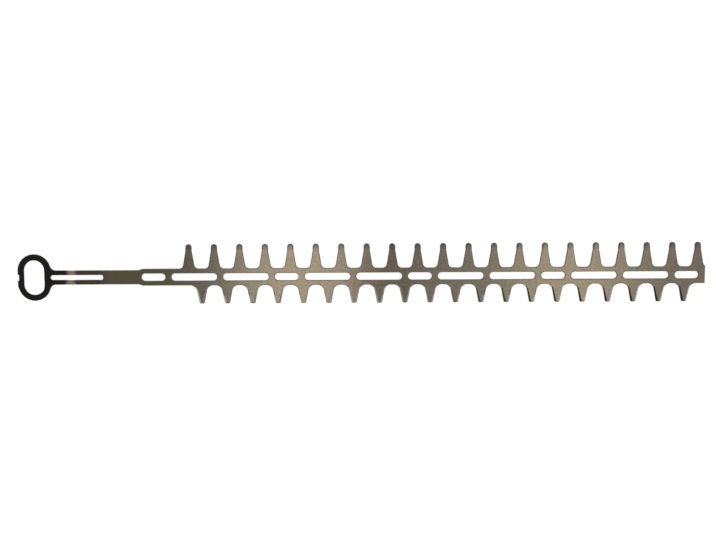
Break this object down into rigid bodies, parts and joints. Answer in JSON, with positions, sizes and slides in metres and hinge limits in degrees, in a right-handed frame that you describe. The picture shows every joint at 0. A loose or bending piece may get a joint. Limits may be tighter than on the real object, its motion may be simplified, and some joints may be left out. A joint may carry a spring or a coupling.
{
  "type": "hedge trimmer blade",
  "caption": "Flat reciprocating hedge trimmer blade with an oblong drive eye, a slotted body, long blunt comb teeth on one edge and short ground cutter teeth on the other.",
  "frame": {"origin": "middle of the drive eye, on the flat sliding face", "axes": "+X along the blade to its square end, +Y to the comb teeth, +Z out of the ground face"},
  "size_m": [0.8108, 0.0704, 0.0025],
  "materials": {
    "trimmer_blade": "ground bare steel with a bronze cast, blued and blackened at the drive eye"
  },
  "bodies": {
    "root": {"trimmer_blade": "trimmer_blade"}
  },
  "joints": []
}
